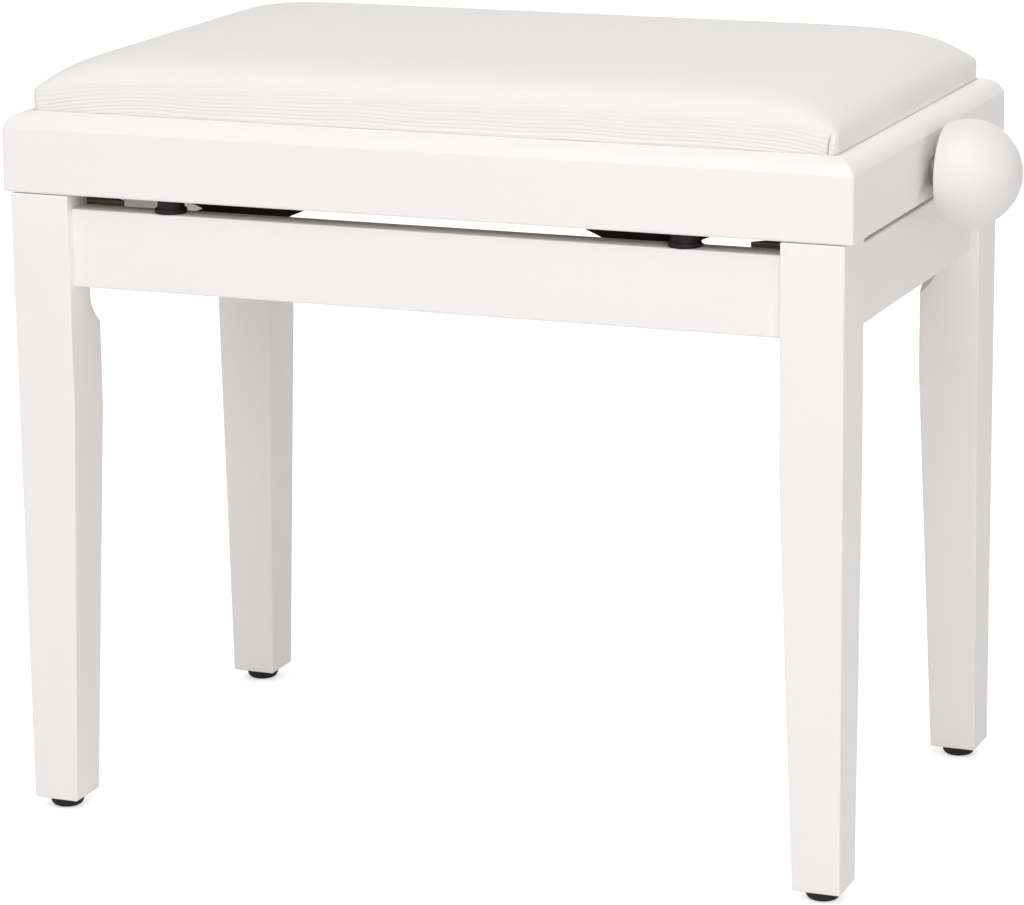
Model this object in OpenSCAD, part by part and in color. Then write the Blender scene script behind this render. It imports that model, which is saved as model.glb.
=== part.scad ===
/* [Seat frame] */
// Length of the seat frame, left to right
frame_l = 550; // [530:1:620]
// Depth of the seat frame, front to back
frame_w = 326; // [316:1:400]
// Height of the four frame members
frame_h = 49.5; // [46:0.5:60]
// Thickness of the frame members
frame_t = 14.5; // [12:0.5:16]
// Radius of the frame's top outer edge
frame_r = 8; // [3:0.5:11]
// Gap between the leg tops and the frame at the lowest height
frame_gap = 0.5; // [0.5:0.1:3]

/* [Seat cushion] */
// Height of the cushion's straight side above the frame
cushion_side = 13; // [6:0.5:30]
// Rise of the crown above the straight side
cushion_crown = 22.4; // [8:0.2:45]
// Gap between the cushion and the frame all round
cushion_gap = 0.6; // [0.4:0.1:2]
// How far the sides pull in at their middle
cushion_draw = 1.2; // [0:0.1:4]
// Thickness of the cloth cover
cover_t = 1.5; // [0.8:0.1:2.5]
// Width of the cover's hem under the seat board
hem_w = 8; // [4:0.5:9]
// Thickness of the seat board
board_t = 9; // [6:0.5:12]
// How far the seat board's top lies below the frame's top edge
board_drop = 1.5; // [0:0.1:4]

/* [Legs] */
// Length of a leg without its glide
leg_l = 394; // [300:1:480]
// Side of the square leg above its taper
leg_s = 39; // [34:0.5:42]
// Width of the foot, left to right
foot_l = 30; // [24:0.5:33]
// Width of the foot, front to back
foot_w = 31; // [24:0.5:33]
// Height over the foot at which the taper starts
taper_l = 255; // [120:1:310]
// How far the legs stand inside the frame's ends
leg_inset = 5; // [0:0.5:8]
// Width of the corner cut on each inner face of a leg
cut_w = 12.5; // [9:0.5:14]
// Length of the corner cut before it runs out
cut_l = 65; // [56:1:80]
// Radius of the cutter at the run-out
cut_r = 30; // [20:1:45]

/* [Rails] */
// Height of a rail
rail_h = 49; // [46:0.5:60]
// Thickness of a rail
rail_t = 20; // [18:0.5:22]
// How far the rail tops lie below the leg tops
rail_drop = 9; // [9:0.1:12]
// How far the rail faces are set back from the leg faces
rail_recess = 6.3; // [3:0.1:7.5]

/* [Corner blocks and hanger bolts] */
// Thickness of a corner block, square to the cut of the leg
block_t = 18.5; // [16:0.5:20]
// Height of a corner block
block_h = 43.5; // [40:0.5:46]
// How far the block tops lie below the leg tops
block_drop = 6; // [4:0.5:7]
// Diameter of a hanger bolt
bolt_d = 8; // [6:0.5:8]
// How far a hanger bolt reaches into the leg
bolt_grip = 26; // [15:1:30]
// How far a hanger bolt lies below the leg tops
bolt_drop = 24.5; // [24:0.1:25]
// Diameter of a hanger bolt's washer
washer_d = 16; // [14:0.5:18]
// Thickness of a hanger bolt's washer
washer_t = 1.6; // [1:0.1:1.8]
// Width of a hanger nut across its flats
nut_w = 13; // [11:0.5:13]
// Height of a hanger nut
nut_h = 6.5; // [5:0.1:6.6]
// How far a hanger bolt shows past its nut
bolt_tip = 2; // [0.5:0.1:2]

/* [Bumpers and glides] */
// Diameter of a bumper's flange
bumper_d = 20; // [16:0.5:20]
// Height of a bumper's flange
bumper_flange_h = 3; // [1.5:0.1:4]
// Diameter of a bumper's neck where it leaves the flange
bumper_neck_d = 17; // [12:0.5:17]
// Diameter of a bumper's top
bumper_top_d = 15.5; // [10:0.5:17]
// Gap between the bumpers and the frame at the lowest height
bumper_gap = 0.3; // [0.3:0.1:0.4]
// Distance of the bumpers from the legs
bumper_inset = 63.5; // [20:0.5:100]
// Diameter of a foot glide
glide_d = 21.5; // [16:0.5:24]
// Diameter of the flat that a glide stands on
glide_flat_d = 12; // [8:0.5:16]
// Height of a foot glide
glide_h = 7.5; // [4:0.5:12]
// Diameter of a glide's nail
nail_d = 2.5; // [2:0.1:3.5]
// Diameter of a glide nail's head
nail_head_d = 5.5; // [4:0.1:7]
// Thickness of a glide nail's head
nail_head_t = 1; // [0.6:0.1:1.4]
// How far a glide's nail reaches into the leg
nail_grip = 18; // [10:1:30]

/* [Lift] */
// How far the seat rises from its lowest to its highest place
lift = 80; // [40:1:80]
// Angle of the lift arms at the highest place
top_angle = 61.8; // [60:0.1:63]
// Distance of the fixed pivots from the side rails' inner faces
pivot_inset = 34.9; // [34.7:0.1:36.5]
// Height of the lower pivots over the rails' lower edge
pivot_rise = 13.5; // [13.5:0.1:15]
// Height of the spindle's axis over the frame's lower edge
spindle_rise = 16; // [15.8:0.1:17]
// Width of an outer arm
outer_arm_w = 24; // [20:0.5:24]
// Width of an inner arm
inner_arm_w = 20; // [18:0.5:24]
// Thickness of an arm
arm_t = 3; // [2:0.1:3.5]
// Free play between the flat faces of arms and channels
arm_play = 0.6; // [0.4:0.1:1]

/* [Channels and their screws] */
// Distance of a steel channel's ends from the side rails
channel_end_gap = 21.7; // [20.7:0.1:24.7]
// Wall of a steel channel
channel_t = 2; // [1.5:0.1:2.5]
// Height of the upright flange of a lower channel
lower_flange_h = 22; // [20:0.5:24]
// Width of a lower channel's flat flange
lower_flange_w = 20; // [16:0.5:21]
// Width of an upper channel's flat flange
upper_flange_w = 20; // [16:0.5:24]
// Thickness of the wood cleats between rail and lower channel
cleat_t = 19.7; // [19:0.1:21]
// Distance of the cleats from the rods' heads
cleat_gap = 6; // [2:0.5:10]
// Diameter of a channel screw's shank
channel_screw_d = 3.5; // [3:0.1:4]
// Diameter of a channel screw's head
channel_screw_head_d = 7; // [6:0.1:8]
// Height of a channel screw's head
channel_screw_head_h = 2; // [1.5:0.1:2.4]
// Length of a lower channel screw's shank
lower_screw_l = 16; // [10:0.5:20]
// Length of an upper channel screw's shank
upper_screw_l = 9; // [6:0.5:10]

/* [Rods and pivots] */
// Diameter of the cross rods and the lower slide pins
rod_d = 10; // [8:0.5:10]
// Diameter of a rod's heads and collars
rod_head_d = 15; // [13:0.5:15]
// Thickness of a rod's heads and inner collars
rod_head_t = 1.5; // [1:0.1:2]
// Diameter of a centre pivot
centre_pin_d = 8; // [6:0.5:9]
// Diameter of a centre pivot's heads
centre_head_d = 14; // [12:0.5:15]
// Length of a bar's middle block along the spindle
bar_block_l = 22; // [16:0.5:24]
// Width and height of a bar's middle block
bar_block_s = 24; // [20:0.5:24]

/* [Spindle and knob] */
// Diameter of the spindle's plain ends
spindle_d = 10; // [8:0.5:10]
// Diameter of the spindle's threads
thread_d = 12; // [11:0.5:14]
// Length by which a thread runs past its bar's block at each end
thread_spare = 8; // [2:0.5:12]
// Length of spindle past the left bearing block
spindle_tail = 6; // [2:0.5:12]
// Diameter of a thrust collar
collar_d = 20; // [16:0.5:24]
// Length of a thrust collar
collar_l = 8; // [5:0.5:9]
// Outer diameter of the spindle's bush
bush_d = 14; // [13:0.5:18]
// Diameter of the bush's flange
bush_flange_d = 18; // [16:0.5:22]
// Thickness of the bush's flange
bush_flange_t = 2; // [1:0.1:3]
// Radius of the knob's ball
knob_r = 32.7; // [26:0.1:36]
// Radius of the knob's flat back
knob_flat_r = 29.6; // [20:0.1:30]
// Distance between the frame's side and the knob's flat back
knob_gap = 8.1; // [5:0.1:14]
// Outer diameter of the knob's threaded insert
insert_d = 14; // [13:0.5:18]
// Length of the knob's threaded insert
insert_l = 22; // [12:0.5:28]

/* [Cleats and screws of the seat] */
// Width of the wood cleats inside the frame
seat_cleat_w = 18; // [14:0.5:18]
// Height of the wood cleats inside the frame
seat_cleat_h = 14; // [10:0.5:14]
// Diameter of a board screw's shank
board_screw_d = 4; // [3:0.1:4.5]
// Diameter of a board screw's head
board_screw_head_d = 8; // [6:0.1:8]
// Height of a board screw's head
board_screw_head_h = 2.4; // [1.5:0.1:2.4]
// How far a board screw reaches into the board
board_screw_grip = 6; // [4:0.5:8]

/* [Hidden] */

$fn = 64;
paint = "#f3f1ef";
raw_wood = "#b98f5c";
plywood = "#c9a877";
black_steel = "#2b2a2a";
zinc = "#b9bdc1";
brass = "#c9a24d";
rubber = "#252322";
cloth = "#f4f2ee";
foam = "#e9ddb0";

// Overrun of every cut past the surface that it opens
over = 1;
// Radial clearance of a turning or sliding fit
running_play = 0.08;
// Radial clearance of a fixed rod, pin or bush in its hole
fixed_play = 0.05;
// Radial clearance of a screw, nail or bolt in its hole
screw_play = 0.1;
// Gap between two faces that slide past each other
side_play = 0.3;
// Clearance of a rod above and below in its slot
slot_play = 0.3;
// Gap between the foam and the cover
foam_gap = 0.3;
// Gap between the ends of the short seat cleats and the long ones
cleat_end_gap = 0.8;

// Heights over the floor
foot_z = glide_h;
leg_top = foot_z + leg_l;
rail_top = leg_top - rail_drop;
rail_z = rail_top - rail_h;
frame_z = leg_top + frame_gap;
frame_top = frame_z + frame_h;
board_top = frame_top - board_drop;
board_z = board_top - board_t;
hem_z = board_z - cover_t;
cushion_edge_z = frame_top + cushion_side;
block_z = leg_top - block_drop - block_h;
bolt_z = leg_top - bolt_drop;
pivot_z = rail_z + pivot_rise;
spindle_z = frame_z + spindle_rise;

// Faces of the legs, rails and blocks, from the stool's middle
leg_x = frame_l / 2 - leg_inset;
leg_y = frame_w / 2;
leg_in_x = leg_x - leg_s;
leg_in_y = leg_y - leg_s;
rail_in_x = leg_x - rail_recess - rail_t;
rail_in_y = leg_y - rail_recess - rail_t;
cut_sum = leg_in_x + leg_in_y + cut_w;
cut_d = cut_sum / sqrt(2);
cut_mid = (leg_y - leg_x) / sqrt(2);
block_sum = cut_sum - block_t * sqrt(2);

// Faces of the lift across the stool, from the outside in
channel_y = rail_in_y - cleat_t;
channel_in_y = channel_y - channel_t;
outer_arm_y = channel_in_y - arm_play - arm_t;
inner_arm_y = outer_arm_y - arm_play - arm_t;
rod_end_y = channel_y + side_play + rod_head_t;

// Arms at rest and the travel of their sliding ends
pivot_x = rail_in_x - pivot_inset;
channel_l = 2 * (rail_in_x - channel_end_gap);
arm_rise = spindle_z - pivot_z;
arm_l = (arm_rise + lift) / sin(top_angle);
rest_angle = asin(arm_rise / arm_l);
slide_in_x = pivot_x - arm_l * cos(rest_angle);
slide_out_x = pivot_x - arm_l * cos(top_angle);
lower_channel_z = pivot_z - outer_arm_w / 2;
upper_channel_z = spindle_z - outer_arm_w / 2;

// The knob, and half of what it adds to the stool's length
knob_back_x = frame_l / 2 + knob_gap;
knob_x = knob_back_x + sqrt(knob_r * knob_r - knob_flat_r * knob_flat_r);
centre_x = (knob_x + knob_r - frame_l / 2) / 2;

// Inside of the frame and outside of the cushion
frame_in_x = frame_l / 2 - frame_t;
frame_in_y = frame_w / 2 - frame_t;
cushion_x = frame_in_x - cushion_gap;
cushion_y = frame_in_y - cushion_gap;
board_x = cushion_x - cover_t;
board_y = cushion_y - cover_t;

// Shape of the cushion: steepness of its flanks and the spread of its faces
flank_power = 12;
end_share = 0.84;
side_share = 0.42;
spread_power = 1.8;
pull_power = 8;

// Rows of screws, as shares of the lengths that carry them
end_screw_share = 0.28;
board_screw_shares = [-0.7, -0.25, 0.25, 0.7];
side_screw_shares = [-0.4, 0.4];
upper_screw_shares = [-0.88, -0.66, -0.12, 0.12, 0.66, 0.88];

// Everything is drawn about the stool's middle and set over the middle of its box
module placed() {
    translate([-centre_x, 0, 0]) children();
}

// The back right quarter is drawn, and mirrored to the other three
module at_corner(side, end) {
    mirror([side < 0 ? 1 : 0, 0, 0]) at_end(end) children();
}

module at_side(side) {
    mirror([side < 0 ? 1 : 0, 0, 0]) children();
}

module at_end(end) {
    mirror([0, end < 0 ? 1 : 0, 0]) children();
}

module at_all_corners() {
    for (side = [-1, 1], end = [-1, 1]) at_corner(side, end) children();
}

module at_both_ends() {
    for (end = [-1, 1]) at_end(end) children();
}

// A round bar along the depth of the stool, from y0 to y1
module round_y(x, z, y0, y1, d) {
    translate([x, y0, z]) rotate([-90, 0, 0]) cylinder(h = y1 - y0, d = d);
}

// A round bar along the length of the stool, from x0 to x1
module round_x(x0, x1, z, d) {
    translate([x0, 0, z]) rotate([0, 90, 0]) cylinder(h = x1 - x0, d = d);
}

// A leg seen from one side: straight outside, tapered inside from taper_l down
module taper_outline(outer, foot) {
    polygon([[outer, foot_z], [outer, leg_top], [outer - leg_s, leg_top],
             [outer - leg_s, foot_z + taper_l], [outer - foot, foot_z]]);
}

// What a round cutter takes off the leg's inner upper edge
module corner_cutter() {
    rotate([0, 0, 45])
        translate([cut_d - cut_r, cut_mid - leg_s / 2, leg_top - cut_l]) {
            cube([cut_r, leg_s, cut_l + over]);
            rotate([-90, 0, 0]) cylinder(h = leg_s, r = cut_r);
        }
}

// A place on a hanger bolt's axis, counted outwards from the leg's cut face
module on_bolt(at) {
    rotate([0, 0, 45])
        translate([cut_d + at, cut_mid, bolt_z])
            rotate([0, 90, 0]) children();
}

module leg() {
    difference() {
        intersection() {
            translate([0, leg_y, 0])
                rotate([90, 0, 0]) linear_extrude(leg_s) taper_outline(leg_x, foot_l);
            translate([leg_in_x, 0, 0])
                rotate([90, 0, 90]) linear_extrude(leg_s) taper_outline(leg_y, foot_w);
        }
        corner_cutter();
        on_bolt(-over) cylinder(h = bolt_grip + over, d = bolt_d + 2 * screw_play);
        on_glide(foot_z - over) cylinder(h = nail_grip + over, d = nail_d + 2 * screw_play);
    }
}

module leg_front_left() { color(paint) placed() at_corner(-1, -1) leg(); }
module leg_front_right() { color(paint) placed() at_corner(1, -1) leg(); }
module leg_back_left() { color(paint) placed() at_corner(-1, 1) leg(); }
module leg_back_right() { color(paint) placed() at_corner(1, 1) leg(); }

// A long rail runs between the inner faces of two legs, and a short one likewise
module long_rail() {
    translate([-leg_in_x, rail_in_y, rail_z]) cube([2 * leg_in_x, rail_t, rail_h]);
}

module short_rail() {
    translate([rail_in_x, -leg_in_y, rail_z]) cube([rail_t, 2 * leg_in_y, rail_h]);
}

module rail_front() { color(paint) placed() at_end(-1) long_rail(); }
module rail_back() { color(paint) placed() long_rail(); }
module rail_left() { color(paint) placed() at_side(-1) short_rail(); }
module rail_right() { color(paint) placed() short_rail(); }

// A block lies on both rails and on the leg's cut face
module corner_block() {
    difference() {
        translate([0, 0, block_z])
            linear_extrude(block_h)
                polygon([[cut_sum - rail_in_y, rail_in_y], [block_sum - rail_in_y, rail_in_y],
                         [rail_in_x, block_sum - rail_in_x], [rail_in_x, cut_sum - rail_in_x]]);
        on_bolt(-block_t - over) cylinder(h = block_t + 2 * over, d = bolt_d + 2 * screw_play);
    }
}

module hanger_bolt() {
    outside = block_t + washer_t + nut_h + bolt_tip;
    on_bolt(-outside) cylinder(h = outside + bolt_grip, d = bolt_d);
}

module hanger_washer() {
    on_bolt(-block_t - washer_t) difference() {
        cylinder(h = washer_t, d = washer_d);
        translate([0, 0, -over]) cylinder(h = washer_t + 2 * over, d = bolt_d + 2 * screw_play);
    }
}

// The nut is a six-sided bar with a round hole
module hanger_nut() {
    on_bolt(-block_t - washer_t - nut_h) difference() {
        cylinder(h = nut_h, r = nut_w / sqrt(3), $fn = 6);
        translate([0, 0, -over]) cylinder(h = nut_h + 2 * over, d = bolt_d + 2 * fixed_play);
    }
}

module corner_blocks() { color(raw_wood) placed() at_all_corners() corner_block(); }
module hanger_bolts() { color(zinc) placed() at_all_corners() hanger_bolt(); }
module hanger_washers() { color(zinc) placed() at_all_corners() hanger_washer(); }
module hanger_nuts() { color(zinc) placed() at_all_corners() hanger_nut(); }

// A place on the axis of the back right glide
module on_glide(z) {
    translate([leg_x - foot_l / 2, leg_y - foot_w / 2, z]) children();
}

// The glide's side is a quarter of an ellipse, from the flat up to the foot
module foot_glide() {
    flat = glide_flat_d / 2;
    bulge = glide_d / 2 - flat;
    side = [for (a = [0 : 10 : 90]) [flat + bulge * sin(a), glide_h * (1 - cos(a))]];
    on_glide(0) difference() {
        rotate_extrude() polygon(concat([[0, 0]], side, [[0, glide_h]]));
        translate([0, 0, -over]) cylinder(h = 2 * nail_head_t + over, d = nail_head_d + 2 * screw_play);
        cylinder(h = glide_h + over, d = nail_d + 2 * screw_play);
    }
}

module glide_nail() {
    on_glide(nail_head_t) {
        cylinder(h = nail_head_t, d = nail_head_d);
        cylinder(h = glide_h - nail_head_t + nail_grip, d = nail_d);
    }
}

module foot_glides() { color(rubber) placed() at_all_corners() foot_glide(); }
module glide_nails() { color(zinc) placed() at_all_corners() glide_nail(); }

module rail_bumper() {
    neck_h = rail_drop + frame_gap - bumper_gap - bumper_flange_h;
    translate([leg_in_x - bumper_inset, rail_in_y + rail_t / 2, rail_top]) {
        cylinder(h = bumper_flange_h, d = bumper_d);
        translate([0, 0, bumper_flange_h]) cylinder(h = neck_h, d1 = bumper_neck_d, d2 = bumper_top_d);
    }
}

module rail_bumpers() { color(rubber) placed() at_all_corners() rail_bumper(); }

// Cleats stand between rail and channel, clear of the rods' heads
cleat_h = lower_flange_h - channel_t;
mid_cleat_l = 2 * (slide_in_x - rod_head_d / 2 - cleat_gap);
end_cleat_l = pivot_x - slide_out_x - rod_head_d - 2 * cleat_gap;
end_cleat_x = (slide_out_x + pivot_x) / 2;

module cleat(x, length) {
    translate([x - length / 2, channel_y, lower_channel_z]) cube([length, cleat_t, cleat_h]);
}

// Places of the lower screws: two in each end cleat and one in each middle cleat
screw_step = end_screw_share * end_cleat_l;
lower_screw_xs = [-end_cleat_x - screw_step, -end_cleat_x + screw_step, 0,
                  end_cleat_x - screw_step, end_cleat_x + screw_step];
lower_screw_y = channel_in_y + lower_flange_w / 2 + channel_t;

module channel_cleats() {
    color(raw_wood) placed() at_both_ends() difference() {
        union() {
            cleat(0, mid_cleat_l);
            cleat(-end_cleat_x, end_cleat_l);
            cleat(end_cleat_x, end_cleat_l);
        }
        for (x = lower_screw_xs)
            translate([x, lower_screw_y, lower_channel_z + lower_flange_h - lower_screw_l])
                cylinder(h = lower_screw_l, d = channel_screw_d + 2 * screw_play);
    }
}

// A slot for a rod that slides from x0 to x1 at height z
module slot(x0, x1, z) {
    d = rod_d + 2 * slot_play;
    y0 = channel_in_y - over;
    y1 = channel_y + over;
    round_y(x0 - slot_play, z, y0, y1, d);
    round_y(x1 + slot_play, z, y0, y1, d);
    translate([x0 - slot_play, y0, z - d / 2]) cube([x1 - x0 + 2 * slot_play, y1 - y0, d]);
}

// Openings that both channels have: fixed rods outside, slots further in
module channel_openings(z) {
    for (side = [-1, 1]) at_side(side) {
        round_y(pivot_x, z, channel_in_y - over, channel_y + over, rod_d + 2 * fixed_play);
        slot(slide_in_x, slide_out_x, z);
    }
}

// The flat flange is cut back to the end cleats, clear of the corner blocks
module lower_channel() {
    flat_l = 2 * end_cleat_x + end_cleat_l;
    difference() {
        translate([0, channel_in_y, lower_channel_z]) {
            translate([-channel_l / 2, 0, 0]) cube([channel_l, channel_t, lower_flange_h]);
            translate([-flat_l / 2, 0, lower_flange_h - channel_t])
                cube([flat_l, lower_flange_w, channel_t]);
        }
        channel_openings(pivot_z);
        for (x = lower_screw_xs)
            translate([x, lower_screw_y, lower_channel_z + lower_flange_h - channel_t - over])
                cylinder(h = channel_t + 2 * over, d = channel_screw_d + 2 * screw_play);
    }
}

module lower_channel_screw(x) {
    translate([x, lower_screw_y, lower_channel_z + lower_flange_h]) {
        cylinder(h = channel_screw_head_h, d = channel_screw_head_d);
        translate([0, 0, -lower_screw_l]) cylinder(h = lower_screw_l, d = channel_screw_d);
    }
}

module lower_channel_front() { color(black_steel) placed() at_end(-1) lower_channel(); }
module lower_channel_back() { color(black_steel) placed() lower_channel(); }
module lower_channel_screws() {
    color(zinc) placed() at_both_ends()
        for (x = lower_screw_xs) lower_channel_screw(x);
}

// A head or collar on a rod, its inner face at y, at both ends of the stool
module rod_collars(x, z, y, t, d) {
    at_both_ends() round_y(x, z, y, y + t, d);
}

// A rod right across the stool with a head outside each channel
module cross_rod(x, z) {
    round_y(x, z, -rod_end_y, rod_end_y, rod_d);
    rod_collars(x, z, channel_y + side_play, rod_head_t, rod_head_d);
}

module lower_rod() {
    cross_rod(pivot_x, pivot_z);
    rod_collars(pivot_x, pivot_z, outer_arm_y - side_play - rod_head_t, rod_head_t, rod_head_d);
}

module lower_rod_left() { color(zinc) placed() at_side(-1) lower_rod(); }
module lower_rod_right() { color(zinc) placed() lower_rod(); }

// A flat arm with round ends: two end holes and one in the middle, from y to y + arm_t
module arm(w, y, far_d, mid_d, near_d) {
    difference() {
        union() {
            round_y(0, 0, y, y + arm_t, w);
            round_y(arm_l, 0, y, y + arm_t, w);
            translate([0, y, -w / 2]) cube([arm_l, arm_t, w]);
        }
        round_y(0, 0, y - over, y + arm_t + over, near_d);
        round_y(arm_l / 2, 0, y - over, y + arm_t + over, mid_d);
        round_y(arm_l, 0, y - over, y + arm_t + over, far_d);
    }
}

// Outer arms rise from the lower rod to the slide bar
module outer_arms() {
    turning = rod_d + 2 * running_play;
    at_both_ends()
        translate([-pivot_x, 0, pivot_z])
            rotate([0, -rest_angle, 0])
                arm(outer_arm_w, outer_arm_y, turning, centre_pin_d + 2 * fixed_play, turning);
}

// Inner arms fall from the bearing bar to the lower slide pins
module inner_arms() {
    at_both_ends()
        translate([-pivot_x, 0, spindle_z])
            rotate([0, rest_angle, 0])
                arm(inner_arm_w, inner_arm_y, rod_d + 2 * fixed_play,
                    centre_pin_d + 2 * running_play, rod_d + 2 * running_play);
}

// A pivot where the two arms cross, with a head on each side
module centre_pivots() {
    x = -(pivot_x + slide_in_x) / 2;
    z = (pivot_z + spindle_z) / 2;
    inner_head_y = inner_arm_y - side_play - rod_head_t;
    outer_head_y = outer_arm_y + arm_t;
    at_both_ends() {
        round_y(x, z, inner_head_y, outer_head_y + rod_head_t, centre_pin_d);
        round_y(x, z, outer_head_y, outer_head_y + rod_head_t, centre_head_d);
        round_y(x, z, inner_head_y, inner_head_y + rod_head_t, centre_head_d);
    }
}

// Short pins at the inner arms' lower ends run in the lower channels' slots
module lower_slide_pins() {
    inner_head_y = inner_arm_y - rod_head_t;
    at_both_ends() {
        round_y(-slide_in_x, pivot_z, inner_head_y, rod_end_y, rod_d);
        round_y(-slide_in_x, pivot_z, inner_head_y, inner_arm_y, rod_head_d);
        round_y(-slide_in_x, pivot_z, inner_arm_y + arm_t, channel_in_y - side_play, rod_head_d);
        round_y(-slide_in_x, pivot_z, channel_y + side_play, rod_end_y, rod_head_d);
    }
}

module outer_arms_left() { color(black_steel) placed() outer_arms(); }
module outer_arms_right() { color(black_steel) placed() at_side(-1) outer_arms(); }
module centre_pivots_left() { color(zinc) placed() centre_pivots(); }
module centre_pivots_right() { color(zinc) placed() at_side(-1) centre_pivots(); }
module inner_arms_left() { color(black_steel) placed() inner_arms(); }
module inner_arms_right() { color(black_steel) placed() at_side(-1) inner_arms(); }
module lower_slide_pins_left() { color(zinc) placed() lower_slide_pins(); }
module lower_slide_pins_right() { color(zinc) placed() at_side(-1) lower_slide_pins(); }

// A cross rod with a block in its middle that the spindle passes through
module block_bar(x, bore_d) {
    difference() {
        union() {
            cross_rod(x, spindle_z);
            translate([x - bar_block_l / 2, -bar_block_s / 2, spindle_z - bar_block_s / 2])
                cube([bar_block_l, bar_block_s, bar_block_s]);
        }
        round_x(x - bar_block_l / 2 - over, x + bar_block_l / 2 + over, spindle_z, bore_d);
    }
}

// The threaded block draws the slide bar along the spindle
module slide_bar() {
    block_bar(slide_in_x, thread_d + 2 * running_play);
    rod_collars(slide_in_x, spindle_z, outer_arm_y - side_play - rod_head_t, rod_head_t, rod_head_d);
}

// The plain block carries the spindle on the seat's channels
module bearing_bar() {
    spacer_y = inner_arm_y + arm_t + side_play;
    block_bar(pivot_x, spindle_d + 2 * running_play);
    rod_collars(pivot_x, spindle_z, spacer_y, channel_in_y - spacer_y, rod_head_d);
    rod_collars(pivot_x, spindle_z, inner_arm_y - side_play - rod_head_t, rod_head_t, rod_head_d);
}

module slide_bar_left() { color(zinc) placed() at_side(-1) slide_bar(); }
module slide_bar_right() { color(zinc) placed() slide_bar(); }
module bearing_bar_left() { color(zinc) placed() at_side(-1) bearing_bar(); }
module bearing_bar_right() { color(zinc) placed() bearing_bar(); }

// A frame member: its outer face on y = 0, mitred ends, top outer edge rounded
module frame_member(length) {
    intersection() {
        translate([-length / 2, 0, frame_z])
            rotate([90, 0, 90])
                linear_extrude(length) {
                    square([frame_t, frame_h - frame_r]);
                    translate([frame_r, 0]) square([frame_t - frame_r, frame_h]);
                    translate([frame_r, frame_h - frame_r]) circle(r = frame_r);
                }
        translate([0, 0, frame_z - over])
            linear_extrude(frame_h + 2 * over)
                polygon([[-length / 2, 0], [length / 2, 0],
                         [length / 2 - frame_t, frame_t], [frame_t - length / 2, frame_t]]);
    }
}

module long_member() { translate([0, -frame_w / 2, 0]) frame_member(frame_l); }
module short_member() { translate([frame_l / 2, 0, 0]) rotate([0, 0, 90]) frame_member(frame_w); }

module frame_front() { color(paint) placed() long_member(); }
module frame_back() { color(paint) placed() at_end(-1) long_member(); }
module frame_left() { color(paint) placed() at_side(-1) short_member(); }
module frame_right() {
    color(paint) placed() difference() {
        short_member();
        round_x(frame_in_x - over, frame_l / 2 + over, spindle_z, bush_d + 2 * fixed_play);
    }
}

// Places of the board screws along the cleats
board_screw_y = frame_in_y - seat_cleat_w + board_screw_head_d / 2 + side_play;
board_screw_x = frame_in_x - seat_cleat_w + board_screw_head_d / 2 + side_play;
board_screw_places = concat(
    [for (share = board_screw_shares, end = [-1, 1]) [share * frame_in_x, end * board_screw_y]],
    [for (share = side_screw_shares, side = [-1, 1]) [side * board_screw_x, share * frame_in_y]]);
seat_cleat_z = hem_z - seat_cleat_h;
upper_screw_y = channel_y - upper_flange_w + channel_screw_head_d / 2 + channel_t;

module board_screw_holes(z0, z1) {
    for (place = board_screw_places)
        translate([place[0], place[1], z0])
            cylinder(h = z1 - z0, d = board_screw_d + 2 * screw_play);
}

module upper_screw_holes(z0, z1) {
    for (share = upper_screw_shares, end = [-1, 1])
        translate([share * channel_l / 2, end * upper_screw_y, z0])
            cylinder(h = z1 - z0, d = channel_screw_d + 2 * screw_play);
}

module seat_cleats() {
    long_l = 2 * frame_in_x;
    short_l = 2 * (frame_in_y - seat_cleat_w - cleat_end_gap);
    color(raw_wood) placed() difference() {
        union() {
            at_both_ends()
                translate([-frame_in_x, frame_in_y - seat_cleat_w, seat_cleat_z])
                    cube([long_l, seat_cleat_w, seat_cleat_h]);
            for (side = [-1, 1]) at_side(side)
                translate([frame_in_x - seat_cleat_w, -short_l / 2, seat_cleat_z])
                    cube([seat_cleat_w, short_l, seat_cleat_h]);
        }
        board_screw_holes(seat_cleat_z - over, hem_z + over);
    }
}

module seat_board() {
    color(plywood) placed() difference() {
        translate([-board_x, -board_y, board_z]) cube([2 * board_x, 2 * board_y, board_t]);
        board_screw_holes(board_z - over, board_z + board_screw_grip);
        upper_screw_holes(board_z - over, board_z - channel_t + upper_screw_l);
    }
}

module board_screws() {
    color(zinc) placed() for (place = board_screw_places)
        translate([place[0], place[1], seat_cleat_z - board_screw_head_h]) {
            cylinder(h = board_screw_head_h, d = board_screw_head_d);
            cylinder(h = board_screw_head_h + board_z - seat_cleat_z + board_screw_grip, d = board_screw_d);
        }
}

// An even step t from -1 to 1, spread so that the steps shorten towards both ends
function spread(t) = sign(t) * (1 - pow(1 - abs(t), spread_power));
// How full the crown is at u across one way, from 1 in the middle to 0 at the edge
function fullness(u, share) = pow(max(0, 1 - pow(abs(u), flank_power)), share);
// How far an edge is drawn in where the other way stands at w
function draw(u, w) = cushion_draw * pow(abs(u), pull_power) * (1 - w * w);

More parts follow.
